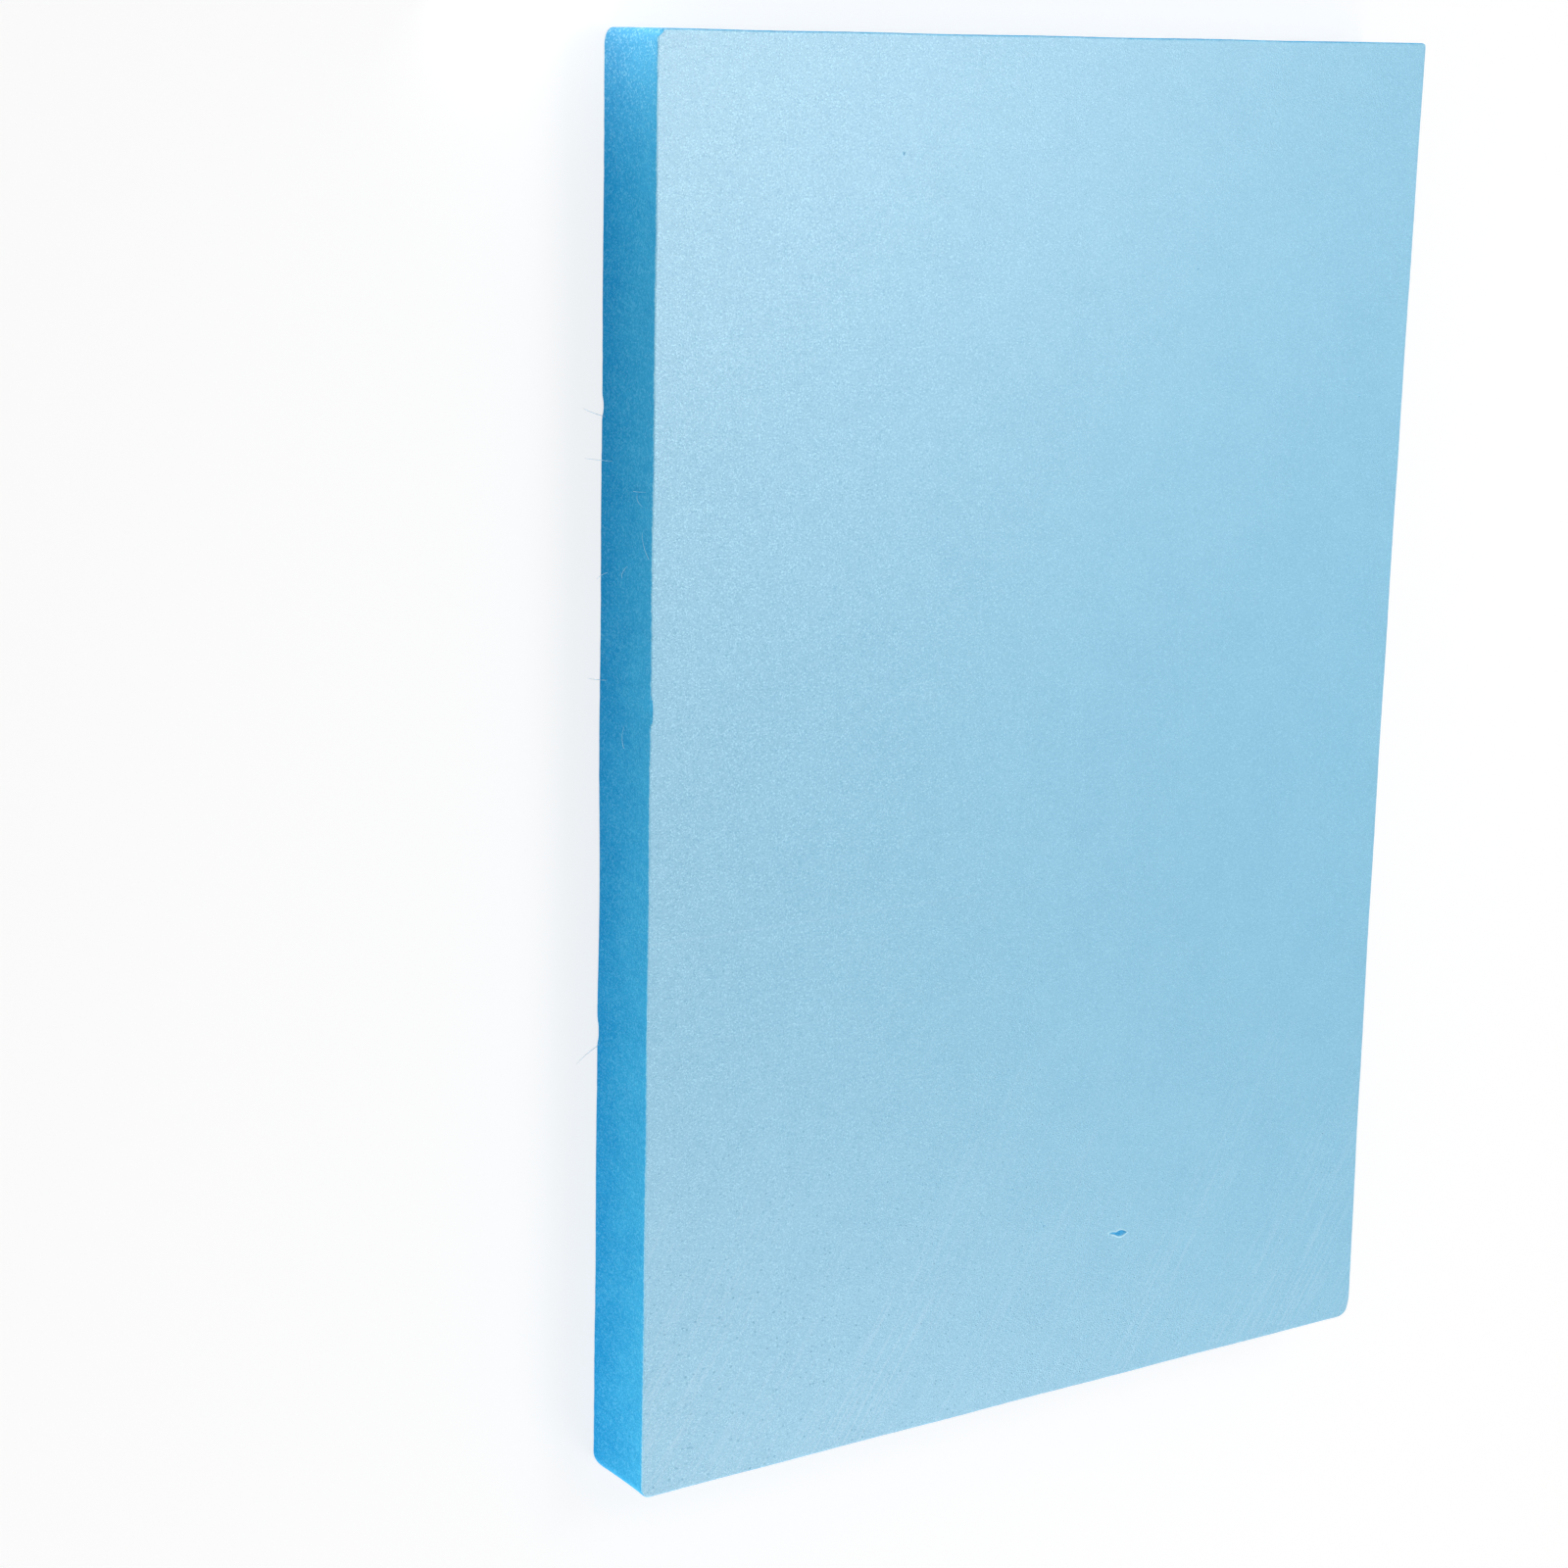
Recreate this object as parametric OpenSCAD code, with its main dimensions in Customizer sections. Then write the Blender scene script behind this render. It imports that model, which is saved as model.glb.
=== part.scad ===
// Flat sheet of closed-cell foam: two planed faces, four sawn edges, corners blunted by handling,
// a nick in the upper face, arrises that are worn along the left edge and a few burst cells.
// Millimetres, +Z up. The origin is the middle of the underside, and the nicked face is up.
// Foot is the -Y end, head the +Y end, left the -X edge and right the +X edge.

/* [Sheet] */
// Width of the sheet, along X
sheet_w = 200; // [120:1:400]
// Length of the sheet, along Y
sheet_l = 300; // [180:1:600]
// Thickness of the sheet, along Z
sheet_t = 20; // [12:0.5:60]

/* [Sawn edges] */
// Radius rubbed onto the arris round both faces
arris_r = 0.5; // [0.2:0.1:2]
// How far the right edge is sawn hollow where it is most so
right_hollow = 1.0; // [0:0.1:3]
// Where the right edge is most hollow, from the foot edge
right_hollow_at = 115; // [60:1:120]
// How far the other three edges are sawn hollow at the middle of their length
edge_hollow = 0.05; // [0:0.05:2]
// How far the foot end is hollow at the middle of its thickness
foot_dish = 0.25; // [0:0.05:2]
// Depth of the saw's wander along every edge
saw_wander = 0.1; // [0:0.05:0.6]
// Length of one swing of the saw
saw_pitch = 46; // [20:1:120]

/* [Blunted corners] */
// Foot right corner: reach of the rounding along the foot edge
foot_right_across = 3.3; // [0.6:0.1:10]
// Foot right corner: reach of the rounding along the right edge
foot_right_along = 5.6; // [0.6:0.1:14]
// Head right corner: reach of the rounding along the head edge
head_right_across = 1.0; // [0.6:0.1:10]
// Head right corner: reach of the rounding along the right edge
head_right_along = 1.1; // [0.6:0.1:14]
// Head left corner: reach of the rounding along the head edge
head_left_across = 1.3; // [0.6:0.1:10]
// Head left corner: reach of the rounding along the left edge
head_left_along = 2.8; // [0.6:0.1:14]
// Foot left corner: reach of the rounding along the foot edge
foot_left_across = 2.4; // [0.6:0.1:10]
// Foot left corner: reach of the rounding along the left edge
foot_left_along = 2.3; // [0.6:0.1:14]

/* [Crushed underside corners] */
// Foot left corner: how much further the crush reaches in at the underside
foot_crush_in = 2; // [0:0.1:10]
// Foot left corner: how high the crush climbs from the underside
foot_crush_up = 3; // [1:0.1:10]
// Head left corner: how much further the crush reaches in at the underside
head_crush_in = 1.2; // [0:0.1:10]
// Head left corner: how high the crush climbs from the underside
head_crush_up = 2.6; // [1:0.1:10]

/* [Nick] */
// Length of the nick in the face
nick_len = 3.9; // [2:0.1:12]
// Width of the nick at its middle
nick_w = 1.5; // [0.6:0.1:4]
// Depth of the nick
nick_deep = 0.7; // [0.4:0.1:4]
// Middle of the nick from the right edge
nick_from_right = 73; // [20:0.5:100]
// Middle of the nick from the foot edge
nick_from_foot = 34.8; // [15:0.1:90]
// Turn of the nick from straight across the sheet, in degrees
nick_turn = -4; // [-90:1:90]
// Length of the shallow tail where the nick began
tail_len = 3.6; // [2:0.1:10]
// Width of the tail
tail_w = 0.6; // [0.2:0.1:2]
// Depth of the tail
tail_deep = 0.3; // [0.2:0.1:2]

/* [Worn left arrises] */
// Length of the stretch that is rubbed off the underside arris
rub_len = 66; // [20:1:100]
// Depth of that stretch, from the sharp arris
rub_deep = 0.6; // [0.4:0.1:2]
// Middle of that stretch from the foot edge
rub_from_foot = 126; // [60:1:130]
// Length of the notch that ends it towards the foot
notch_len = 8; // [3:0.5:20]
// Depth of the notch, from the sharp arris
notch_deep = 0.7; // [0.4:0.1:2]
// Middle of the notch from the foot edge
notch_from_foot = 97; // [40:1:150]
// Length of the dent in the underside arris towards the head
dent_len = 6; // [3:0.5:20]
// Depth of the dent, from the sharp arris
dent_deep = 0.7; // [0.4:0.1:2]
// Middle of the dent from the head edge
dent_from_head = 73.5; // [20:0.5:80]
// Length of the flake lost from the left arris of the upper face
flake_len = 9; // [3:0.5:20]
// Depth of the flake, from the sharp arris
flake_deep = 0.6; // [0.4:0.1:2]
// Middle of the flake from the head edge
flake_from_head = 132; // [20:1:150]
// Radius of the chip lost from the head left corner of the upper face
chip_r = 0.9; // [0.4:0.1:3]

/* [Burst cells] */
// Width of a burst cell in the upper face
pit_d = 0.6; // [0.3:0.1:2]

/* [Hidden] */

foam_blue = "#95cce7";

// How finely the loft follows the form: steps in a corner, along each edge and round an arris
corner_steps = 6;
short_steps = 20;
long_steps = 30;
arris_steps = 3;
wall_steps = 7;
// Wall rings crowd towards the underside, where the crushed corners curve
wall_bias = 1.6;
// Least rounding that any corner keeps inside the arris
least_corner = 0.1;
// The saw's wander fades out over this share of an edge towards each corner
wander_fade = 0.125;
// A full turn of the wander leans this far, in degrees, for each millimetre of thickness
wander_lean = 4;
// Where the saw's swing starts on the right, head, left and foot edges, in degrees
wander_start = [20, 140, 250, 75];
// Facets round the discs and balls that cut a leaf, a scallop, the chip and a burst cell
leaf_fn = 48;
scallop_fn = 96;
chip_fn = 32;
pit_fn = 16;
// The tail runs on from the nick at its left end, and turns a little further
tail_shift = [-1.9, 0.3];
tail_turn = -8;
// Places of the burst cells: from the right edge, from the foot edge
pits = [
    [19.3, 58.3], [12, 48.3], [19.8, 39.7], [104.7, 51], [95.2, 40.7],
    [14.1, 222.6], [18.2, 226.3], [63.4, 251.9], [141.9, 276.5], [118.5, 7.1],
];

// Rings of the loft, from the underside up: height and how far the arris pulls the outline in
arris_angles = [for (k = [0 : arris_steps]) 90 * k / arris_steps];
wall_h = sheet_t - 2 * arris_r;
lower_arris = [for (a = arris_angles) [arris_r * (1 - cos(a)), arris_r * (1 - sin(a))]];
wall = [for (k = [1 : wall_steps - 1]) [arris_r + wall_h * pow(k / wall_steps, wall_bias), 0]];
upper_arris = [
    for (k = [arris_steps : -1 : 0])
        [sheet_t - arris_r * (1 - cos(arris_angles[k])), arris_r * (1 - sin(arris_angles[k]))]
];
rings = concat(lower_arris, wall, upper_arris);

// Share of a crush that is left at height z: all of it on the underside, none from its top up
function crush(z, up) = z >= up ? 0 : 1 - sqrt(1 - pow(1 - z / up, 2));

// Hollow of an edge at share t of its length, from 0 at the ends to 1 at share m
function bow(t, m = 0.5) = 1 - pow((t - m) / (t < m ? m : 1 - m), 2);

// Wander of the saw at place s along edge number e, at share t of its length and height z
function wander(e, s, t, z) =
    saw_wander * min(1, t / wander_fade, (1 - t) / wander_fade)
    * (1 + sin(360 * s / saw_pitch + wander_start[e] + wander_lean * z)) / 2;

// Dish of the foot end at height z
function dish(z) = foot_dish * bow(z / sheet_t);

// Reach of a corner inside an arris that pulls in by d
function inside(reach, d) = max(reach - d, least_corner);

// Quarter ellipse of a corner about the point c, with reaches a and b, from a start angle
function corner(c, a, b, start) = [
    for (k = [0 : corner_steps])
        let (turn = start + 90 * k / corner_steps)
            [c[0] + a * cos(turn), c[1] + b * sin(turn)]
];

// Sawn stretch between the corner points p and q, pulled in along n by its wander and by its hollow,
// which is deepest at share m
function sawn(e, p, q, n, hollow, steps, z, m = 0.5) = [
    for (k = [1 : steps - 1])
        let (t = k / steps, at = p + t * (q - p), s = at[0] + at[1])
            at + n * (hollow * bow(t, m) + wander(e, s, t, z))
];

// Closed outline of the sheet at height z, pulled in by d, anticlockwise from the foot right corner
function outline(z, d) =
    let (
        x = sheet_w / 2 - d,
        head = sheet_l / 2 - d,
        foot = sheet_l / 2 - d - dish(z),
        deepest = right_hollow_at / sheet_l,
        fl_in = foot_crush_in * crush(z, foot_crush_up),
        hl_in = head_crush_in * crush(z, head_crush_up),
        fr = [inside(foot_right_across, d), inside(foot_right_along, d)],
        hr = [inside(head_right_across, d), inside(head_right_along, d)],
        hl = [inside(head_left_across + hl_in, d), inside(head_left_along + hl_in, d)],
        fl = [inside(foot_left_across + fl_in, d), inside(foot_left_along + fl_in, d)],
        fr_arc = corner([x - fr[0], fr[1] - foot], fr[0], fr[1], -90),
        hr_arc = corner([x - hr[0], head - hr[1]], hr[0], hr[1], 0),
        hl_arc = corner([hl[0] - x, head - hl[1]], hl[0], hl[1], 90),
        fl_arc = corner([fl[0] - x, fl[1] - foot], fl[0], fl[1], 180)
    )
    concat(
        fr_arc, sawn(0, fr_arc[corner_steps], hr_arc[0], [-1, 0], right_hollow, long_steps, z, deepest),
        hr_arc, sawn(1, hr_arc[corner_steps], hl_arc[0], [0, -1], edge_hollow, short_steps, z),
        hl_arc, sawn(2, hl_arc[corner_steps], fl_arc[0], [1, 0], edge_hollow, long_steps, z),
        fl_arc, sawn(3, fl_arc[corner_steps], fr_arc[0], [0, 1], edge_hollow, short_steps, z)
    );

// The sheet lofted through its rings, as the saw and handling left it
module worn_blank() {
    outlines = [for (r = rings) [for (p = outline(r[0], r[1])) [p[0], p[1], r[0]]]];
    n = len(outlines[0]);
    last = len(rings) - 1;
    points = [for (o = outlines) each o];
    sides = [
        for (k = [0 : last - 1], i = [0 : n - 1])
            let (a = k * n + i, b = k * n + (i + 1) % n)
                each [[a, a + n, b + n], [a, b + n, b]]
    ];
    underside = [for (i = [0 : n - 1]) i];
    face = [for (i = [n - 1 : -1 : 0]) last * n + i];
    polyhedron(points, concat(sides, [underside, face]), convexity = 4);
}

// Radius of the round that leaves a scar of a given length and depth
function scar_r(length, deep) = (length * length / 4 + deep * deep) / (2 * deep);

// Leaf-shaped cut into a level face at the origin, pointed at both ends along X
module leaf_cut(length, width, deep) {
    disc_r = scar_r(length, deep);
    half = width / 2 * disc_r / deep;
    translate([0, 0, disc_r - deep])
        rotate([90, 0, 0])
            for (side = [0, 1])
                mirror([0, 0, side])
                    cylinder(h = half, r1 = disc_r, r2 = 0, $fn = leaf_fn);
}

// The nick with its shallow tail, in the upper face
module nick() {
    translate([sheet_w / 2 - nick_from_right, nick_from_foot - sheet_l / 2, sheet_t]) {
        rotate(nick_turn)
            leaf_cut(nick_len, nick_w, nick_deep);
        translate(tail_shift)
            rotate(nick_turn + tail_turn)
                leaf_cut(tail_len, tail_w, tail_deep);
    }
}

// Scallop worn out of the left arris at place y, of the upper face where up is 1, or of the underside
// where it is -1
module scallop(y, up, length, deep) {
    r = scar_r(length, deep);
    off = (r - deep) / sqrt(2);
    translate([-sheet_w / 2 - off, y, up > 0 ? sheet_t + off : -off])
        sphere(r, $fn = scallop_fn);
}

// Burst cells in the upper face
module burst_cells() {
    for (p = pits)
        translate([sheet_w / 2 - p[0], p[1] - sheet_l / 2, sheet_t])
            sphere(d = pit_d, $fn = pit_fn);
}

module foam_sheet() {
    color(foam_blue)
        difference() {
            worn_blank();
            nick();
            scallop(rub_from_foot - sheet_l / 2, -1, rub_len, rub_deep);
            scallop(notch_from_foot - sheet_l / 2, -1, notch_len, notch_deep);
            scallop(sheet_l / 2 - dent_from_head, -1, dent_len, dent_deep);
            scallop(sheet_l / 2 - flake_from_head, 1, flake_len, flake_deep);
            translate([-sheet_w / 2, sheet_l / 2, sheet_t])
                sphere(chip_r + arris_r, $fn = chip_fn);
            burst_cells();
        }
}

foam_sheet();
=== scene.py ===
"""Foam sheet: planed faces, sawn edges, blunted corners, a nick and a few burst cells."""
import math

import bmesh
import bpy
from mathutils import Matrix, Vector, noise


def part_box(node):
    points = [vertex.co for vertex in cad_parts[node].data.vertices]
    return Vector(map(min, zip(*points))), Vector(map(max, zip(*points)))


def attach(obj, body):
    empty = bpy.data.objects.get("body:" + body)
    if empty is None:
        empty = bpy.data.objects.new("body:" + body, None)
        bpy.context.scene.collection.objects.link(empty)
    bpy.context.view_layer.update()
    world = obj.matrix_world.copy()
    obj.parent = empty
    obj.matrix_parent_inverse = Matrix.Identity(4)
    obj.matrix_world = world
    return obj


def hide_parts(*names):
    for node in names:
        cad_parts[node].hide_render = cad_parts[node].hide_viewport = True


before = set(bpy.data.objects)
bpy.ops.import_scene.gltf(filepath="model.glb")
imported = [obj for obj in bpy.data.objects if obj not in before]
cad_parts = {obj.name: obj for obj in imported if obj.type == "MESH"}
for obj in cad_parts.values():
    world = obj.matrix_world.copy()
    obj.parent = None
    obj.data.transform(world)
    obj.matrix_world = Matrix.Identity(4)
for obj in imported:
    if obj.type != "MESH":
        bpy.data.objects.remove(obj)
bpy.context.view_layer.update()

MM = 0.001

# Size of the sheet, from the frame. The foot end is dished, so the head end gives the length.
HALF_W, HALF_L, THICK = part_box("foam_sheet")[1]

# Wear of the edges: the arrises are rubbed round, the right edge is hollow and deepest at a place from the
# foot, the others are slightly hollow, and the foot end is dished across its thickness
ARRIS_R = 0.5 * MM
RIGHT_HOLLOW = 1.0 * MM
RIGHT_HOLLOW_AT = 115 * MM
EDGE_HOLLOW = 0.05 * MM
FOOT_DISH = 0.25 * MM
# Wander of the saw: depth, pitch, share of an edge over which it sets in at each end, turn in degrees for
# each metre of height, and where in its swing each edge starts, in degrees
SAW_WANDER = 0.1 * MM
SAW_PITCH = 46 * MM
WANDER_ENDS = 0.125
WANDER_LEAN = 4 / MM
RIGHT_START, HEAD_START, LEFT_START, FOOT_START = 20, 140, 250, 75
# Lumps that the saw left on the edges: height and width of each kind. All that the saw did dies away inwards
# over one length, and the lumps do so faster, by a power.
SAW_LUMPS = [(0.05 * MM, 3.2 * MM), (0.03 * MM, 1.3 * MM)]
SAW_FADE = 12 * MM
LUMP_FADE_POWER = 4

# Corners by side, -1 or 1 across and along: reach across, reach along, crush in and crush up
CORNERS = {
    (1, -1): (3.3 * MM, 5.6 * MM, 0, 1 * MM),
    (1, 1): (1.0 * MM, 1.1 * MM, 0, 1 * MM),
    (-1, 1): (1.3 * MM, 2.8 * MM, 1.2 * MM, 2.6 * MM),
    (-1, -1): (2.4 * MM, 2.3 * MM, 2.0 * MM, 3.0 * MM),
}

# Nick near the foot, a leaf with a shallow tail: place from the right and foot edges, turn in degrees,
# length, width and depth. Its inside shows torn foam from a certain depth on, in the sawn finish with its
# painted shade.
NICK = (73 * MM, 34.8 * MM, -4, 3.9 * MM, 1.5 * MM, 0.7 * MM)
NICK_TAIL = (74.9 * MM, 35.1 * MM, -12, 3.6 * MM, 0.6 * MM, 0.3 * MM)
NICK_TORN = 0.1 * MM
# Lip of torn skin pushed up round the nick, whitish with a painted highlight: height, width, and depth of
# the widened leaf where it is full
LIP_H = 0.14 * MM
LIP_W = 0.4 * MM
LIP_RISE = 0.12 * MM

# Scallops worn out of the left arris, of the upper face or the underside: place along, length and depth
UPPER_SCALLOPS = [(HALF_L - 132 * MM, 9 * MM, 0.6 * MM)]
UNDER_SCALLOPS = [
    (126 * MM - HALF_L, 66 * MM, 0.6 * MM),
    (97 * MM - HALF_L, 8 * MM, 0.7 * MM),
    (HALF_L - 73.5 * MM, 6 * MM, 0.7 * MM),
]
# Chip off the head left corner
CHIP_R = 1.4 * MM

# Burst cells in the upper face: width, and places in mm from the right and foot edges
PIT_D = 0.6 * MM
PITS = [
    (19.3, 58.3), (12, 48.3), (19.8, 39.7), (104.7, 51), (95.2, 40.7),
    (14.1, 222.6), (18.2, 226.3), (63.4, 251.9), (141.9, 276.5), (118.5, 7.1),
]

# Torn fibres on the left edge: radius at the root and the tip, how deep the root sits and how far a fibre
# bows out. Real ones are thinner, but wouldn't show in a picture of the whole sheet.
FIBRE_R = 0.06 * MM
FIBRE_TIP_R = FIBRE_R / 3
FIBRE_ROOT = 0.2 * MM
FIBRE_BOW = 0.5 * MM
# Of each fibre, in mm: place from the head end, height, run along the edge, run up it, and how far the tip
# stands out
FIBRES = [
    (75.5, 1.5, 2, 0, 5), (84, 4.5, 0.5, -3, 4.5), (89, 12.5, 0.5, 5.5, 0.2), (89.5, 14, -2, 3, 0.4),
    (102, 19, 5.5, -2, 0.4), (107, 8.5, 3, 3, 0.4), (106.5, 3, -1.5, -1.5, 1.5), (128.5, 3, 0.5, -1.5, 3.5),
    (141.5, 10, 5, 0.5, 0.2), (205.5, 1.5, -3.5, 0, 5.5),
]

# Mesh: size of a cell, lines that crowd towards the edges and the underside, and how far off a line a point
# may lie and still count as on it
CELL = 2.4 * MM
ARRIS_LINES = [ARRIS_R * k / 4 for k in range(1, 5)]
EDGE_LINES = ARRIS_LINES + [d * MM for d in (0.8, 1.2, 1.8, 2.6, 3.6, 5.2)]
CRUSH_LINES = [d * MM for d in (0.9, 1.4, 2.0, 3.0)]
RIM_W = EDGE_LINES[-1]
SLACK = 0.05 * MM
# Cuts that make the mesh finer along the rim, and twice over round the nick and the burst cells, with the
# share of a spot's reach that they take in
RIM_CUTS = 2
SPOT_CUTS = [(5, 1), (3, 0.6)]
NICK_REACH = 4.5 * MM
PIT_REACH = 2 * MM
FIBRE_SIDES = 5
FIBRE_CUTS = 7
# A face of the rim is sawn where its normal's rise is less than this
SAWN_RISE = 0.75

# Whitish torn skin and painted light: colour, width on each side of the left arris, pitch of the breaks in
# that line and how whole it is; the line is torn skin with a painted highlight on the arris. On the left
# edge painted light and sheen are also scattered, thickest at the head end and none past a reach from it.
TORN_SKIN_AND_PAINTED_LIGHT = "b4ebff"
TORN_HIGHLIGHT_W = 0.35 * MM
TORN_HIGHLIGHT_PITCH = 2.5 * MM
TORN_HIGHLIGHT_WHOLE = 0.7
PAINTED_HEAD_LIGHT = 0.5
PAINTED_HEAD_LIGHT_REACH = 35 * MM

# Foam: refractive index
FOAM_IOR = 1.5

# Planed foam: deep and pale colour, roughness, width of the opened cells, of which real ones have 0.2 to
# 0.5 mm, their depth, and width of the mottling
PLANED_DEEP = "48a2cc"
PLANED_PALE = "a8e6ff"
PLANED_ROUGH = 0.51
PLANED_CELL = 0.25 * MM
PLANED_RELIEF = 0.05 * MM
MOTTLE = 12 * MM
# Tone from 0, deep, to 1, pale: its level, strength of the grain at the right, what it gains at the left as
# painted glints of the sheen, share of that gain lost at the foot, brightness of a cell that leaves the tone
# as it is, power that leaves few cells far from that, and strength of the mottling and of the painted shade
# in the pores
PLANED_TONE = 0.435
GRAIN = 0.17
GLINT_GAIN_LEFT = 0.28
GLINT_GAIN_LOST = 0.45
GRAIN_MIDDLE = 0.45
GRAIN_POWER = 3
MOTTLE_TONE = 0.11
PORE_SHADE = 0.32
# Arcs of the planer's blade: radius, place of their middle along the sheet, pitch, how slowly they change
# along their run, relief, where along the sheet they begin to show, and how much the cells break them up
ARC_R = 580 * MM
ARC_MIDDLE = 178 * MM
ARC_PITCH = 1.0 * MM
ARC_STRETCH = 0.06
ARC_RELIEF = 0.015 * MM
ARC_START = -40 * MM
ARC_BREAKS = 0.2
# Levels of the pattern at which an arc sets in and is full
ARC_FROM, ARC_FULL = 0.5, 0.85
# Sheaves of arcs: width, levels of their pattern at which one sets in and is full, and how plain the arcs
# are between them
ARC_SHEAF = 22 * MM
SHEAF_FROM, SHEAF_FULL = 0.35, 0.6
SHEAF_LEAST = 0.4
# Scraped foam, paler and greyer, and on the arcs partly painted sheen: colour, and its share on the arcs
SCRAPED_AND_SHEEN = "a8d9f4"
ARC_SCRAPED_AND_SHEEN = 0.5
# Lines across the sheet where the feed paused: place along it and strength of each, and width
FEED_LINES = [(-30 * MM, 0.22), (-52 * MM, 0.1), (15 * MM, 0.1)]
FEED_LINE_W = 0.5 * MM
# Pores that the blade left open: pitch, radius, share of it at the right, and depth
PORE_PITCH = 1.8 * MM
PORE_R = 0.45 * MM
PORE_RIGHT = 0.5
PORE_DEPTH = 0.1 * MM

# Sawn foam: deep and pale colour, a purer blue than the planed face that is also deepened with painted
# shade and a painted blue bounce, roughness, share of the usual gloss, width of a torn cell, its relief, and
# width of the mottling
SAWN_DEEP = "0a97d6"
SAWN_PALE = "4cc8f7"
SAWN_ROUGH = 0.65
SAWN_GLOSS = 0.2
SAWN_CELL = 0.35 * MM
SAWN_RELIEF = 0.05 * MM
SAWN_MOTTLE = 9 * MM
# Saw lines: pitch, lean, how slowly they change along their run, and relief
SAW_LINE_PITCH = 1.1 * MM
SAW_LINE_LEAN = 0.25
SAW_LINE_STRETCH = 0.08
SAW_LINE_RELIEF = 0.06 * MM
# Tone from 0, deep, to 1, pale: its level at the underside and the upper face, lower at the underside as
# painted shade, and strength of the grain, the mottling and the saw lines
SAWN_TONE_SHADED_LOW, SAWN_TONE_HIGH = -0.48, 0.0
SAWN_GRAIN = 0.45
SAWN_MOTTLE_TONE = 0.4
SAW_LINE_TONE = 0.32
# Whitish specks, as painted glints: brightness of a cell at which one sets in, share of whitish in it, what
# torn skin and painted light add to that, and share of whitish all over them
PAINTED_GLINT_FROM = 0.6
PAINTED_GLINT = 0.1
PAINTED_GLINT_TORN = 0.6
FILM_TORN_AND_PAINTED_LIGHT = 0.35

# Studio floor, in metres: half its length, how far it lies under the sheet, grey that bounces light, grey
# that takes the shadow, glow that makes it white, and from where to where it fades to the room's white
FLOOR_HALF = 6
FLOOR_GAP = 0.05 * MM
FLOOR_BOUNCE = "adadad"
FLOOR_SHADE = "959595"
FLOOR_GLOW = 0.75
FLOOR_NEAR = 0.25
FLOOR_FAR = 0.6
WHITE = "ffffff"

# Light, in metres: strength of the room's, size and height of the panels overhead, and width and height of
# the strips beside the sheet, which stand no higher than it, so that they light its edges and not its face
ROOM_LIGHT = 0.49
PANEL = (0.25, 0.25)
PANEL_Z = 0.47
STRIP_W = 0.018
STRIP_Z = 0.011

# Camera: width of the photograph and its focal length in pixels, place, look and rough upward direction
PHOTO_PX = 1600
FOCAL_PX = 3389.8
CAMERA_PLACE = Vector((-437.2, 150.2, 568.8)) * MM
CAMERA_LOOK = Vector((0.5446, -0.2215, -0.8089))
CAMERA_UP = Vector((0.1067, 0.975, -0.1951))
CAMERA_NEAR = 10 * MM
SENSOR_W = 36


def hex_colour(code):
    """Linear colour of an sRGB hex value such as 95cce7."""
    srgb = [int(code[i:i + 2], 16) / 255 for i in (0, 2, 4)]
    linear = [c / 12.92 if c <= 0.04045 else ((c + 0.055) / 1.055) ** 2.4 for c in srgb]
    return (*linear, 1.0)


def put(tree, kind, inputs=None, **settings):
    """Adds a node with its settings, and sets or links its inputs. A node links by its first output."""
    node = tree.nodes.new(kind)
    for name, value in settings.items():
        setattr(node, name, value)
    for key, value in (inputs or {}).items():
        if isinstance(value, bpy.types.Node):
            value = value.outputs[0]
        if isinstance(value, bpy.types.NodeSocket):
            tree.links.new(value, node.inputs[key])
        else:
            node.inputs[key].default_value = value
    return node


def new_material(name):
    """A node material with nothing in it, and its tree."""
    material = bpy.data.materials.new(name)
    material.use_nodes = True
    material.node_tree.nodes.clear()
    return material, material.node_tree


# Form of the sheet

def on_face(from_right, from_foot):
    """Point of the upper face, from its right and foot edges."""
    return Vector((HALF_W - from_right, from_foot - HALF_L, THICK))


def pit_places():
    """Middle of each burst cell on the upper face."""
    return [on_face(from_right * MM, from_foot * MM) for from_right, from_foot in PITS]


def sides(co):
    """Which sides of the sheet a point is nearest, and how far in from them it lies."""
    side_x = 1 if co.x > 0 else -1
    side_y = 1 if co.y > 0 else -1
    return side_x, side_y, HALF_W - side_x * co.x, HALF_L - side_y * co.y


def slice_block(bm, axis, places):
    """Cuts the block square to one axis at each place."""
    normal = Vector((0, 0, 0))
    normal[axis] = 1
    for place in places:
        geom = [*bm.verts, *bm.edges, *bm.faces]
        bmesh.ops.bisect_plane(bm, geom=geom, plane_co=normal * place, plane_no=normal)


def divide_spans(bm, axis):
    """Divides what is longer than two mesh cells along one axis."""
    spans = [e for e in bm.edges if abs(e.verts[1].co[axis] - e.verts[0].co[axis]) > 2 * CELL]
    cuts = math.ceil(spans[0].calc_length() / CELL) - 1
    bmesh.ops.subdivide_edges(bm, edges=spans, cuts=cuts, use_grid_fill=True)


def refine_rim(bm):
    """Divides the edges that run along the rim, so that its lumps show."""
    rim = []
    for axis, half in ((0, HALF_W), (1, HALF_L)):
        for edge in bm.edges:
            is_near = min(abs(v.co[axis]) for v in edge.verts) > half - RIM_W - SLACK
            run = abs(edge.verts[1].co[1 - axis] - edge.verts[0].co[1 - axis])
            if is_near and run > CELL / 2:
                rim.append(edge)
    bmesh.ops.subdivide_edges(bm, edges=rim, cuts=RIM_CUTS, use_grid_fill=True)


def refine_spot(bm, centre, reach):
    """Divides the mesh finely round one place, and more finely at its middle."""
    for cuts, share in SPOT_CUTS:
        faces = [f for f in bm.faces if (f.calc_center_median() - centre).length < share * reach]
        edges = {e for f in faces for e in f.edges}
        bmesh.ops.subdivide_edges(bm, edges=list(edges), cuts=cuts, use_grid_fill=True)


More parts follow.
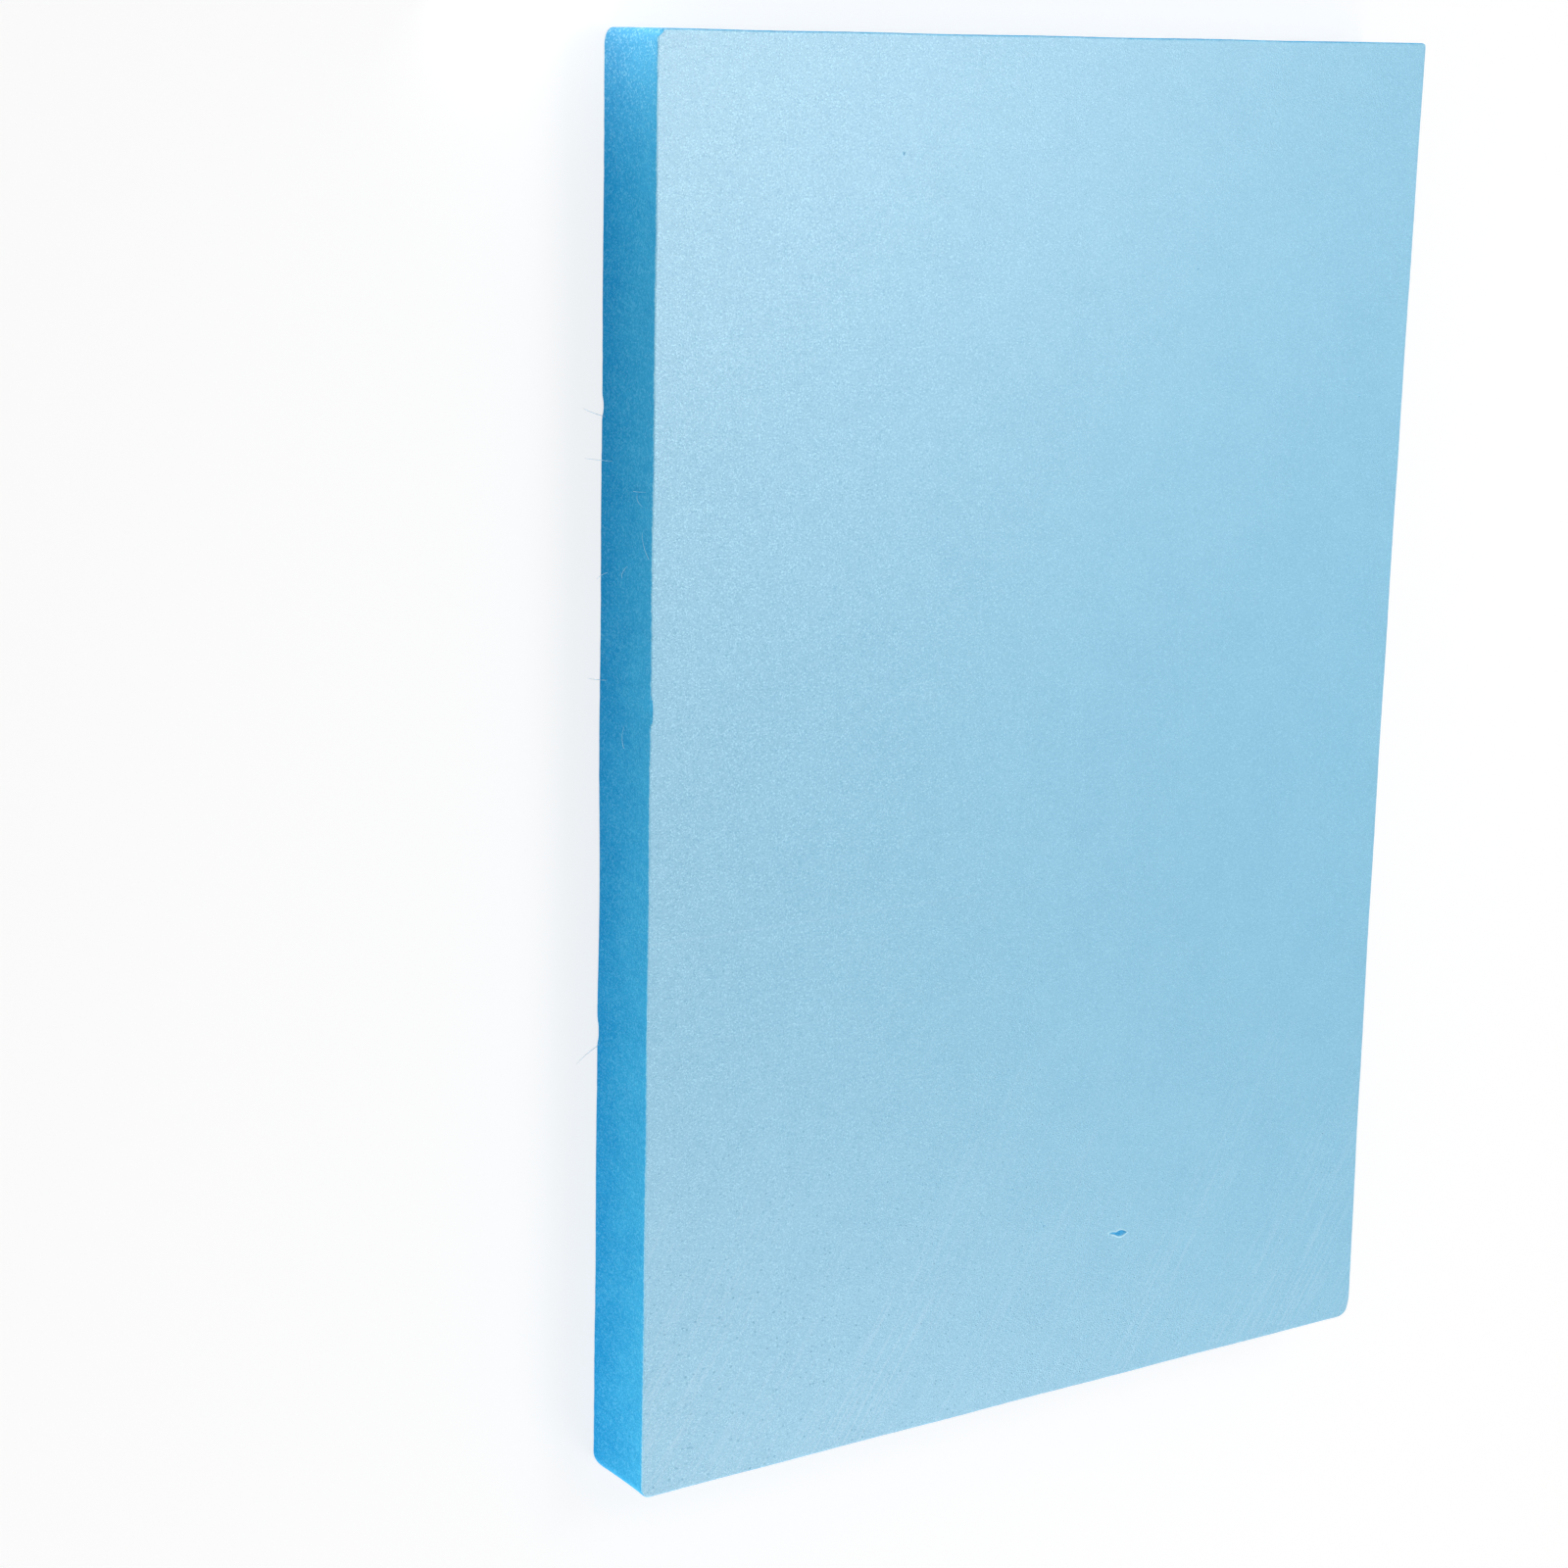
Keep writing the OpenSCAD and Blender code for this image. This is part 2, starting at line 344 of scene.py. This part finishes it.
def divided_block():
    """A block of the sheet's size, divided finely where the worn form needs it."""
    bm = bmesh.new()
    size = Matrix.Diagonal((2 * HALF_W, 2 * HALF_L, THICK, 1))
    bmesh.ops.create_cube(bm, size=1, matrix=Matrix.Translation((0, 0, THICK / 2)) @ size)
    for axis, half in ((0, HALF_W), (1, HALF_L)):
        slice_block(bm, axis, [side * (half - d) for d in EDGE_LINES for side in (-1, 1)])
    slice_block(bm, 2, ARRIS_LINES + CRUSH_LINES + [THICK - d for d in ARRIS_LINES])
    for axis in range(3):
        divide_spans(bm, axis)
    refine_rim(bm)
    refine_spot(bm, on_face(*NICK[:2]), NICK_REACH)
    for pit in pit_places():
        refine_spot(bm, pit, PIT_REACH)
    return bm


def rub_arris(co):
    """Rounds the arris round both faces."""
    side_x, side_y, in_x, in_y = sides(co)
    is_up = co.z > THICK / 2
    deep = THICK - co.z if is_up else co.z
    edge = max(min(in_x, in_y), 0)
    if edge >= ARRIS_R or deep >= ARRIS_R:
        return
    turn = math.radians(45 * (1 + edge / ARRIS_R - deep / ARRIS_R))
    pull = ARRIS_R * (1 - math.cos(turn))
    drop = ARRIS_R * (1 - math.sin(turn))
    stretch = (ARRIS_R - pull) / (ARRIS_R - edge)
    if in_x < ARRIS_R:
        co.x = side_x * (HALF_W - pull - (in_x - edge) * stretch)
    if in_y < ARRIS_R:
        co.y = side_y * (HALF_L - pull - (in_y - edge) * stretch)
    co.z = THICK - drop if is_up else drop


def blunt_corner(co):
    """Rounds the upright corners, and crushes them further near the underside."""
    side_x, side_y, in_x, in_y = sides(co)
    across, along, crush_in, crush_up = CORNERS[side_x, side_y]
    climb = max(0, 1 - co.z / crush_up)
    crush = crush_in * (1 - math.sqrt(1 - climb * climb))
    across += crush
    along += crush
    u = 1 - in_x / across
    v = 1 - in_y / along
    if u <= 0 or v <= 0:
        return
    co.x = side_x * (HALF_W - across * (1 - u * math.sqrt(1 - v * v / 2)))
    co.y = side_y * (HALF_L - along * (1 - v * math.sqrt(1 - u * u / 2)))


def bow(share, deepest=0.5):
    """Hollow along an edge, from 0 at its ends to 1 where it is deepest."""
    return 1 - ((share - deepest) / (deepest if share < deepest else 1 - deepest)) ** 2


def wander(co, share, start):
    """How far the saw swung into an edge."""
    ends = max(0, min(1, share / WANDER_ENDS, (1 - share) / WANDER_ENDS))
    swing = math.radians(360 * (co.x + co.y) / SAW_PITCH + start + WANDER_LEAN * co.z)
    return SAW_WANDER * ends * (1 + math.sin(swing)) / 2


def saw_edges(co):
    """Pulls the edges in by their hollow, their dish and the saw's wander and lumps."""
    side_x, side_y, in_x, in_y = sides(co)
    fade_x = max(0, 1 - in_x / SAW_FADE)
    fade_y = max(0, 1 - in_y / SAW_FADE)
    share_x = (co.x / HALF_W + 1) / 2
    share_y = (co.y / HALF_L + 1) / 2
    lump = sum(high * noise.noise(co / wide) for high, wide in SAW_LUMPS)
    if side_x > 0:
        pull_x = RIGHT_HOLLOW * bow(share_y, RIGHT_HOLLOW_AT / (2 * HALF_L))
        pull_x += wander(co, share_y, RIGHT_START)
    else:
        pull_x = EDGE_HOLLOW * bow(share_y) + wander(co, share_y, LEFT_START)
    if side_y > 0:
        pull_y = EDGE_HOLLOW * bow(share_x) + wander(co, share_x, HEAD_START)
    else:
        pull_y = EDGE_HOLLOW * bow(share_x) + wander(co, share_x, FOOT_START)
        pull_y += FOOT_DISH * bow(co.z / THICK)
    co.x -= side_x * fade_x * (pull_x + lump * fade_x ** LUMP_FADE_POWER)
    co.y -= side_y * fade_y * (pull_y + lump * fade_y ** LUMP_FADE_POWER)


def scar_radius(length, deep):
    """Radius of the round that leaves a scar of a given length and depth."""
    return (length * length / 4 + deep * deep) / (2 * deep)


def arris_scars():
    """Centre and radius of each ball that wore a piece off the left arris or the head left corner."""
    scars = [(Vector((-HALF_W, HALF_L, THICK)), CHIP_R)]
    for height, up, scallops in ((THICK, 1, UPPER_SCALLOPS), (0, -1, UNDER_SCALLOPS)):
        for place, length, deep in scallops:
            radius = scar_radius(length, deep)
            off = (radius - deep) / math.sqrt(2)
            scars.append((Vector((-HALF_W - off, place, height + up * off)), radius))
    return scars


def leaf_depth(co, leaf, spread=0.0):
    """Depth of a leaf-shaped cut under a point of the upper face. Spread widens the leaf all round."""
    from_right, from_foot, turn, length, width, deep = leaf
    local = Matrix.Rotation(-math.radians(turn), 3, "Z") @ (co - on_face(from_right, from_foot))
    length += 2 * spread
    width += 2 * spread
    disc = scar_radius(length, deep)
    radius = disc - abs(local.y) * 2 * deep / width
    if radius <= abs(local.x):
        return 0.0
    return max(0.0, math.sqrt(radius * radius - local.x * local.x) - disc + deep)


def nick_depth(co, spread=0.0):
    """Depth of the nick and its tail under a point of the upper face, widened by a spread."""
    return max(leaf_depth(co, NICK, spread), leaf_depth(co, NICK_TAIL, spread))


def press_face(co, pits):
    """Sinks the nick and the burst cells into the upper face, and lifts the nick's lip. Returns how much of
    the lip a point has."""
    deep = nick_depth(co)
    if deep > 0:
        co.z -= deep
        return 0.0
    lip = min(1, nick_depth(co, LIP_W) / LIP_RISE)
    co.z += LIP_H * lip
    for pit in pits:
        away = (co.xy - pit.xy).length
        if away < PIT_D / 2:
            co.z -= math.sqrt(PIT_D * PIT_D / 4 - away * away)
    return lip


def torn_skin_and_painted_light(co):
    """How much whitish torn skin and painted light a point has: in a broken line on the left arris, torn
    skin with a painted highlight, and scattered over the head end of the left edge as painted light and
    sheen."""
    in_x = co.x + HALF_W
    down = THICK - co.z
    if in_x > CELL:
        return 0.0
    whole = max(0, min(1, TORN_HIGHLIGHT_WHOLE + noise.noise(co / TORN_HIGHLIGHT_PITCH)))
    # Torn skin on the left arris, with a painted highlight
    line = whole * max(0, min(1, 2 - 2 * max(in_x, down) / TORN_HIGHLIGHT_W))
    # Painted light and sheen, scattered over the head end of the left edge
    near_head = max(0, 1 - (HALF_L - co.y) / PAINTED_HEAD_LIGHT_REACH)
    painted_head_light = PAINTED_HEAD_LIGHT * near_head ** 2 * min(1, down / ARRIS_R)
    return max(line, painted_head_light)


def wear_down(bm, torn_and_painted_light):
    """Moves each point of the block to the worn form, and notes how much torn skin and painted light it has.
    """
    scars = arris_scars()
    pits = pit_places()
    for vert in bm.verts:
        co = vert.co
        is_face = co.z > THICK - SLACK and min(sides(co)[2:]) > ARRIS_R
        rub_arris(co)
        blunt_corner(co)
        saw_edges(co)
        for centre, radius in scars:
            away = co - centre
            if away.length < radius:
                vert.co = centre + away.normalized() * radius
        vert[torn_and_painted_light] = max(torn_skin_and_painted_light(co), press_face(co, pits) if is_face else 0)


def mark_sawn(bm):
    """Gives the edges and the inside of the nick the second finish, and the rest the first."""
    bm.normal_update()
    for face in bm.faces:
        middle = face.calc_center_median()
        if min(sides(middle)[2:]) > RIM_W:
            is_sawn = middle.z > THICK / 2 and nick_depth(middle) > NICK_TORN
        else:
            is_sawn = abs(face.normal.z) < SAWN_RISE
        face.material_index = 1 if is_sawn else 0


def add_fibre(bm, torn_and_painted_light, from_head, high, along, up, out):
    """Adds a torn fibre to the left edge: a thin tapered tube that bows away from it."""
    root = Vector((FIBRE_ROOT - HALF_W, HALF_L - from_head, high))
    tip = Vector((-HALF_W - out, root.y + along, high + up))
    run = tip - root
    count = len(bm.verts)
    bmesh.ops.create_cone(bm, cap_ends=True, segments=FIBRE_SIDES, radius1=FIBRE_R, radius2=FIBRE_TIP_R,
                          depth=run.length)
    bm.verts.ensure_lookup_table()
    runs = {e for v in bm.verts[count:] for e in v.link_edges if e.calc_length() > run.length / 2}
    bmesh.ops.subdivide_edges(bm, edges=list(runs), cuts=FIBRE_CUTS)
    bm.verts.ensure_lookup_table()
    turn = run.to_track_quat("Z", "Y")
    for vert in bm.verts[count:]:
        share = vert.co.z / run.length + 0.5
        bowed = Vector((-FIBRE_BOW * bow(share), 0, 0))
        vert.co = root + run * share + bowed + turn @ Vector((vert.co.x, vert.co.y, 0))
        vert[torn_and_painted_light] = 1.0


def foam_sheet(planed, sawn):
    """The sheet: a finely divided block, worn to its form, with torn fibres on its left edge."""
    bm = divided_block()
    torn_and_painted_light = bm.verts.layers.float.new("torn_skin_and_painted_light")
    wear_down(bm, torn_and_painted_light)
    mark_sawn(bm)
    for fibre in FIBRES:
        add_fibre(bm, torn_and_painted_light, *[length * MM for length in fibre])
    for face in bm.faces:
        face.smooth = True
    mesh = bpy.data.meshes.new("foam_sheet_form")
    bm.to_mesh(mesh)
    bm.free()
    mesh.materials.append(planed)
    mesh.materials.append(sawn)
    piece = bpy.data.objects.new("planed_foam_sheet", mesh)
    bpy.context.scene.collection.objects.link(piece)
    return piece


# Finishes

def blade_arcs(tree, xyz, cells):
    """How hard the planer's blade dragged, from 0 to 1: circles of one radius, one beside the other, in
    sheaves that grow plainer towards the foot."""
    along = put(tree, "ShaderNodeMath", {0: xyz["Y"], 1: ARC_MIDDLE}, operation="SUBTRACT")
    square = put(tree, "ShaderNodeMath", {0: along, 1: along}, operation="MULTIPLY")
    rest = put(tree, "ShaderNodeMath", {0: ARC_R ** 2, 1: square}, operation="SUBTRACT")
    reach = put(tree, "ShaderNodeMath", {0: rest}, operation="SQRT")
    across = put(tree, "ShaderNodeMath", {0: xyz["X"], 1: reach}, operation="SUBTRACT")
    slow = put(tree, "ShaderNodeMath", {0: xyz["Y"], 1: ARC_STRETCH}, operation="MULTIPLY")
    place = put(tree, "ShaderNodeCombineXYZ", {"X": across, "Y": slow, "Z": xyz["Z"]})
    arcs = put(tree, "ShaderNodeTexNoise", {"Vector": place, "Scale": 1 / ARC_PITCH, "Detail": 1.0})
    sheaves = put(tree, "ShaderNodeTexNoise", {"Vector": place, "Scale": 1 / ARC_SHEAF, "Detail": 0.0})
    sheaves = put(tree, "ShaderNodeMapRange", {
        "Value": sheaves, "From Min": SHEAF_FROM, "From Max": SHEAF_FULL, "To Min": SHEAF_LEAST},
        interpolation_type="SMOOTHSTEP")
    plain = put(tree, "ShaderNodeMapRange", {
        "Value": xyz["Y"], "From Min": ARC_START, "From Max": -HALF_L}, interpolation_type="SMOOTHSTEP")
    plain = put(tree, "ShaderNodeMath", {0: plain, 1: sheaves}, operation="MULTIPLY")
    broken = put(tree, "ShaderNodeMath", {0: cells, 1: ARC_BREAKS, 2: arcs}, operation="MULTIPLY_ADD")
    return put(tree, "ShaderNodeMapRange", {
        "Value": broken, "From Min": ARC_FROM, "From Max": ARC_FULL, "To Max": plain},
        interpolation_type="SMOOTHSTEP")


def open_pores(tree, place, left, foot):
    """Where a pore lies open, from 0 to 1: wide at the foot and left, and none towards the head."""
    pores = put(tree, "ShaderNodeTexVoronoi", {"Vector": place, "Scale": 1 / PORE_PITCH})
    worn = put(tree, "ShaderNodeMath", {0: left, 1: 1 - PORE_RIGHT, 2: PORE_RIGHT}, operation="MULTIPLY_ADD")
    worn = put(tree, "ShaderNodeMath", {0: worn, 1: foot}, operation="MULTIPLY")
    radius = put(tree, "ShaderNodeMath", {0: worn, 1: PORE_R / PORE_PITCH}, operation="MULTIPLY")
    return put(tree, "ShaderNodeMapRange", {
        "Value": pores.outputs["Distance"], "From Min": radius, "From Max": 0.0},
        interpolation_type="SMOOTHSTEP")


def scraped_foam_and_sheen(tree, xyz, left, arcs):
    """How far the foam is scraped, from 0 to 1: on the arcs, where it is partly painted sheen, and on the
    feed lines towards the left.
    """
    scraped_and_sheen = put(tree, "ShaderNodeMath", {0: arcs, 1: ARC_SCRAPED_AND_SHEEN}, operation="MULTIPLY")
    for line, share in FEED_LINES:
        away = put(tree, "ShaderNodeMath", {0: xyz["Y"], 1: line}, operation="SUBTRACT")
        away = put(tree, "ShaderNodeMath", {0: away}, operation="ABSOLUTE")
        drawn = put(tree, "ShaderNodeMapRange", {
            "Value": away, "From Min": FEED_LINE_W, "From Max": 0.0, "To Max": share},
            interpolation_type="SMOOTHSTEP")
        scraped_and_sheen = put(tree, "ShaderNodeMath", {0: drawn, 1: left, 2: scraped_and_sheen}, operation="MULTIPLY_ADD")
    return scraped_and_sheen


def planed_foam():
    """Rigid closed-cell foam off the planer: matt and pale blue, with a soft sheen. The blade opens the
    cells, so the face is finely grained, with painted glints in the grain, and it leaves arcs, paler partly
    as painted sheen, that cross the foot end most plainly."""
    material, tree = new_material("planed closed-cell foam")
    place = put(tree, "ShaderNodeTexCoord").outputs["Object"]
    xyz = put(tree, "ShaderNodeSeparateXYZ", {0: place}).outputs
    cups = put(tree, "ShaderNodeTexVoronoi", {"Vector": place, "Scale": 1 / PLANED_CELL}).outputs
    cells = put(tree, "ShaderNodeSeparateXYZ", {0: cups["Color"]})
    mottle = put(tree, "ShaderNodeTexNoise", {"Vector": place, "Scale": 1 / MOTTLE, "Detail": 2.0})

    # From 0 to 1 towards the left edge and towards the foot
    left = put(tree, "ShaderNodeMapRange", {
        "Value": xyz["X"], "From Min": HALF_W / 2, "From Max": -HALF_W}, interpolation_type="SMOOTHSTEP")
    foot = put(tree, "ShaderNodeMapRange", {
        "Value": xyz["Y"], "From Min": HALF_L / 2, "From Max": -HALF_L}, interpolation_type="SMOOTHSTEP")
    arcs = blade_arcs(tree, xyz, cells)
    pores = open_pores(tree, place, left, foot)

    # The grain is partly painted glints of the sheen, plainest at the left and weaker towards the foot.
    # Most cells are alike and a few stand out as bright or dark specks, the bright ones partly painted
    # glints, so their brightness is raised to a power.
    grain_and_glints = put(tree, "ShaderNodeMath", {0: cells, 1: 2.0, 2: -2 * GRAIN_MIDDLE}, operation="MULTIPLY_ADD")
    grain_and_glints = put(tree, "ShaderNodeMath", {0: grain_and_glints, 1: GRAIN_POWER}, operation="POWER")
    kept = put(tree, "ShaderNodeMath", {0: foot, 1: -GLINT_GAIN_LOST, 2: 1.0}, operation="MULTIPLY_ADD")
    gain = put(tree, "ShaderNodeMath", {0: left, 1: kept}, operation="MULTIPLY")
    gain = put(tree, "ShaderNodeMath", {0: gain, 1: GLINT_GAIN_LEFT, 2: GRAIN}, operation="MULTIPLY_ADD")
    tone = put(tree, "ShaderNodeMath", {0: grain_and_glints, 1: gain, 2: PLANED_TONE}, operation="MULTIPLY_ADD")
    # Mottling, and painted shade in the open pores
    for part, share in ((mottle, MOTTLE_TONE), (pores, -PORE_SHADE)):
        tone = put(tree, "ShaderNodeMath", {0: part, 1: share, 2: tone}, operation="MULTIPLY_ADD")

    scraped_and_sheen = scraped_foam_and_sheen(tree, xyz, left, arcs)
    # Whitish torn skin, with a painted highlight on the left arris and the nick's lip
    torn_and_painted_light = put(tree, "ShaderNodeAttribute", attribute_name="torn_skin_and_painted_light").outputs["Fac"]
    colour = hex_colour(PLANED_DEEP)
    for share, over in ((tone, PLANED_PALE), (scraped_and_sheen, SCRAPED_AND_SHEEN), (torn_and_painted_light, TORN_SKIN_AND_PAINTED_LIGHT)):
        colour = put(tree, "ShaderNodeMix", {
            "Factor": share, "A": colour, "B": hex_colour(over)}, data_type="RGBA").outputs["Result"]

    relief = put(tree, "ShaderNodeMath", {0: cups["Distance"], 1: PLANED_RELIEF}, operation="MULTIPLY")
    for part, high in ((arcs, ARC_RELIEF), (pores, -PORE_DEPTH)):
        relief = put(tree, "ShaderNodeMath", {0: part, 1: high, 2: relief}, operation="MULTIPLY_ADD")
    bump = put(tree, "ShaderNodeBump", {"Height": relief, "Distance": 1.0})
    shader = put(tree, "ShaderNodeBsdfPrincipled", {
        "Base Color": colour, "Roughness": PLANED_ROUGH, "IOR": FOAM_IOR, "Normal": bump})
    put(tree, "ShaderNodeOutputMaterial", {"Surface": shader})
    return material


def saw_lines(tree, xyz):
    """Lines of the saw, long in the direction of the thickness and leaning a little."""
    lean = put(tree, "ShaderNodeMath", {
        0: xyz["Z"], 1: SAW_LINE_LEAN, 2: xyz["Y"]}, operation="MULTIPLY_ADD")
    slow = put(tree, "ShaderNodeMath", {0: xyz["Z"], 1: SAW_LINE_STRETCH}, operation="MULTIPLY")
    place = put(tree, "ShaderNodeCombineXYZ", {"X": xyz["X"], "Y": lean, "Z": slow})
    return put(tree, "ShaderNodeTexNoise", {"Vector": place, "Scale": 1 / SAW_LINE_PITCH, "Detail": 2.0})


def sawn_foam():
    """Rigid closed-cell foam off the saw: torn cells stand up, so it is rough, and a purer blue than the
    planed face, deepened with painted shade and a painted blue bounce. Fine saw lines cross its thickness."""
    material, tree = new_material("sawn closed-cell foam")
    place = put(tree, "ShaderNodeTexCoord").outputs["Object"]
    xyz = put(tree, "ShaderNodeSeparateXYZ", {0: place}).outputs
    cups = put(tree, "ShaderNodeTexVoronoi", {"Vector": place, "Scale": 1 / SAWN_CELL}).outputs
    cells = put(tree, "ShaderNodeSeparateXYZ", {0: cups["Color"]})
    mottle = put(tree, "ShaderNodeTexNoise", {"Vector": place, "Scale": 1 / SAWN_MOTTLE, "Detail": 2.0})
    lines = saw_lines(tree, xyz)

    # Painted shade: deepest at the underside, palest at the upper face
    tone = put(tree, "ShaderNodeMapRange", {
        "Value": xyz["Z"], "From Max": THICK, "To Min": SAWN_TONE_SHADED_LOW, "To Max": SAWN_TONE_HIGH})
    for part, share in ((cells, SAWN_GRAIN), (mottle, SAWN_MOTTLE_TONE), (lines, SAW_LINE_TONE)):
        tone = put(tree, "ShaderNodeMath", {0: part, 1: share, 2: tone}, operation="MULTIPLY_ADD")

    # Whitish specks as painted glints, plainer ones on torn skin and painted light, and a whitish film there
    torn_and_painted_light = put(tree, "ShaderNodeAttribute", attribute_name="torn_skin_and_painted_light").outputs["Fac"]
    plain = put(tree, "ShaderNodeMath", {0: torn_and_painted_light, 1: PAINTED_GLINT_TORN, 2: PAINTED_GLINT}, operation="MULTIPLY_ADD")
    painted_glints = put(tree, "ShaderNodeMapRange", {
        "Value": cells, "From Min": PAINTED_GLINT_FROM, "From Max": 1.0, "To Max": plain},
        interpolation_type="SMOOTHSTEP")
    whitish = put(tree, "ShaderNodeMath", {0: torn_and_painted_light, 1: FILM_TORN_AND_PAINTED_LIGHT, 2: painted_glints}, operation="MULTIPLY_ADD")
    colour = hex_colour(SAWN_DEEP)
    for share, over in ((tone, SAWN_PALE), (whitish, TORN_SKIN_AND_PAINTED_LIGHT)):
        colour = put(tree, "ShaderNodeMix", {
            "Factor": share, "A": colour, "B": hex_colour(over)}, data_type="RGBA").outputs["Result"]

    relief = put(tree, "ShaderNodeMath", {0: cups["Distance"], 1: SAWN_RELIEF}, operation="MULTIPLY")
    relief = put(tree, "ShaderNodeMath", {0: lines, 1: SAW_LINE_RELIEF, 2: relief}, operation="MULTIPLY_ADD")
    bump = put(tree, "ShaderNodeBump", {"Height": relief, "Distance": 1.0})
    shader = put(tree, "ShaderNodeBsdfPrincipled", {
        "Base Color": colour, "Roughness": SAWN_ROUGH, "IOR": FOAM_IOR, "Specular IOR Level": SAWN_GLOSS,
        "Normal": bump})
    put(tree, "ShaderNodeOutputMaterial", {"Surface": shader})
    return material


def looked_at(tree):
    """1 where a ray comes from the camera, a mirror or glass, and 0 where it only carries light."""
    path = put(tree, "ShaderNodeLightPath").outputs
    seen = put(tree, "ShaderNodeMath", {
        0: path["Is Camera Ray"], 1: path["Is Glossy Ray"]}, operation="ADD")
    return put(tree, "ShaderNodeMath", {
        0: seen, 1: path["Is Transmission Ray"]}, operation="ADD", use_clamp=True)


def studio_floor():
    """White floor: it shows white to the camera, keeps the shadow and fades to the room's white far off."""
    material, tree = new_material("white studio floor")
    bounce = put(tree, "ShaderNodeBsdfDiffuse", {"Color": hex_colour(FLOOR_BOUNCE)})
    shade = put(tree, "ShaderNodeBsdfDiffuse", {"Color": hex_colour(FLOOR_SHADE)})
    glow = put(tree, "ShaderNodeEmission", {"Color": hex_colour(WHITE), "Strength": FLOOR_GLOW})
    near = put(tree, "ShaderNodeAddShader", {0: shade, 1: glow})
    far = put(tree, "ShaderNodeEmission", {"Color": hex_colour(WHITE), "Strength": 1.0})
    place = put(tree, "ShaderNodeTexCoord").outputs["Object"]
    away = put(tree, "ShaderNodeVectorMath", {0: place}, operation="LENGTH").outputs["Value"]
    fade = put(tree, "ShaderNodeMapRange", {
        "Value": away, "From Min": FLOOR_NEAR, "From Max": FLOOR_FAR}, interpolation_type="SMOOTHSTEP")
    shown = put(tree, "ShaderNodeMixShader", {0: fade, 1: near, 2: far})
    mix = put(tree, "ShaderNodeMixShader", {0: looked_at(tree), 1: bounce, 2: shown})
    put(tree, "ShaderNodeOutputMaterial", {"Surface": mix})
    return material


# Stage, light and camera

def add_floor():
    """A floor just under the sheet."""
    bm = bmesh.new()
    bmesh.ops.create_grid(bm, x_segments=1, y_segments=1, size=FLOOR_HALF,
                          matrix=Matrix.Translation((0, 0, -FLOOR_GAP)))
    mesh = bpy.data.meshes.new("floor_form")
    bm.to_mesh(mesh)
    bm.free()
    mesh.materials.append(studio_floor())
    floor = bpy.data.objects.new("floor", mesh)
    bpy.context.scene.collection.objects.link(floor)


def add_lamp(name, place, aim, size, power, sheen_only=False):
    """A white panel of light that no camera sees. One that is for sheen alone adds gloss and no light."""
    light = bpy.data.lights.new(name, "AREA")
    light.shape = "RECTANGLE"
    light.size, light.size_y = size
    light.energy = power
    lamp = bpy.data.objects.new(name, light)
    lamp.location = place
    lamp.rotation_euler = (Vector(aim) - Vector(place)).to_track_quat("-Z", "Y").to_euler()
    lamp.visible_camera = False
    lamp.visible_diffuse = not sheen_only
    bpy.context.scene.collection.objects.link(lamp)


def add_lamps():
    """Key lamps and sheen cards overhead, and low strips for the edges. Powers are in watts."""
    middle = (0, 0, 0)
    left_edge = (-HALF_W, 0, THICK / 2)
    head_corner = (-HALF_W, HALF_L - 5 * MM, THICK / 2)
    head_end = (0, HALF_L, THICK / 2)
    add_lamp("head key", (0.16, 0.15, PANEL_Z), middle, PANEL, 0.70)
    add_lamp("foot key", (0.20, -0.51, PANEL_Z), middle, PANEL, 0.76)
    add_lamp("head sheen card", (0.08, 0.22, PANEL_Z), middle, PANEL, 8.0, sheen_only=True)
    add_lamp("foot sheen card", (0.21, -0.53, PANEL_Z), middle, PANEL, 5.5, sheen_only=True)
    add_lamp("left strip", (-0.36, -0.40, STRIP_Z), left_edge, (0.30, STRIP_W), 1.35)
    add_lamp("head corner strip", (-0.125, 0.17, STRIP_Z), head_corner, (0.02, STRIP_W), 0.009)
    add_lamp("head strip", (0, 0.60, STRIP_Z), head_end, (0.40, STRIP_W), 0.8)


def add_world():
    """Even light from all round. The camera and mirrors see it as white."""
    world = bpy.data.worlds.new("studio")
    world.use_nodes = True
    tree = world.node_tree
    tree.nodes.clear()
    room = put(tree, "ShaderNodeBackground", {"Color": hex_colour(WHITE), "Strength": ROOM_LIGHT})
    seen = put(tree, "ShaderNodeBackground", {"Color": hex_colour(WHITE), "Strength": 1.0})
    mix = put(tree, "ShaderNodeMixShader", {0: looked_at(tree), 1: room, 2: seen})
    put(tree, "ShaderNodeOutputWorld", {"Surface": mix})
    bpy.context.scene.world = world


def add_camera():
    """The photograph's camera, found from the six visible corners of the sheet."""
    look = CAMERA_LOOK.normalized()
    right = look.cross(CAMERA_UP).normalized()
    up = right.cross(look)
    data = bpy.data.cameras.new("camera")
    data.sensor_width = SENSOR_W
    data.lens = SENSOR_W * FOCAL_PX / PHOTO_PX
    data.clip_start = CAMERA_NEAR
    camera = bpy.data.objects.new("camera", data)
    turn = Matrix((right, up, -look)).transposed().to_4x4()
    camera.matrix_world = Matrix.Translation(CAMERA_PLACE) @ turn
    bpy.context.scene.collection.objects.link(camera)
    bpy.context.scene.camera = camera


bpy.context.scene.view_settings.view_transform = "Standard"
sheet = foam_sheet(planed_foam(), sawn_foam())
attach(sheet, "root")
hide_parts("foam_sheet")
add_floor()
add_world()
add_lamps()
add_camera()
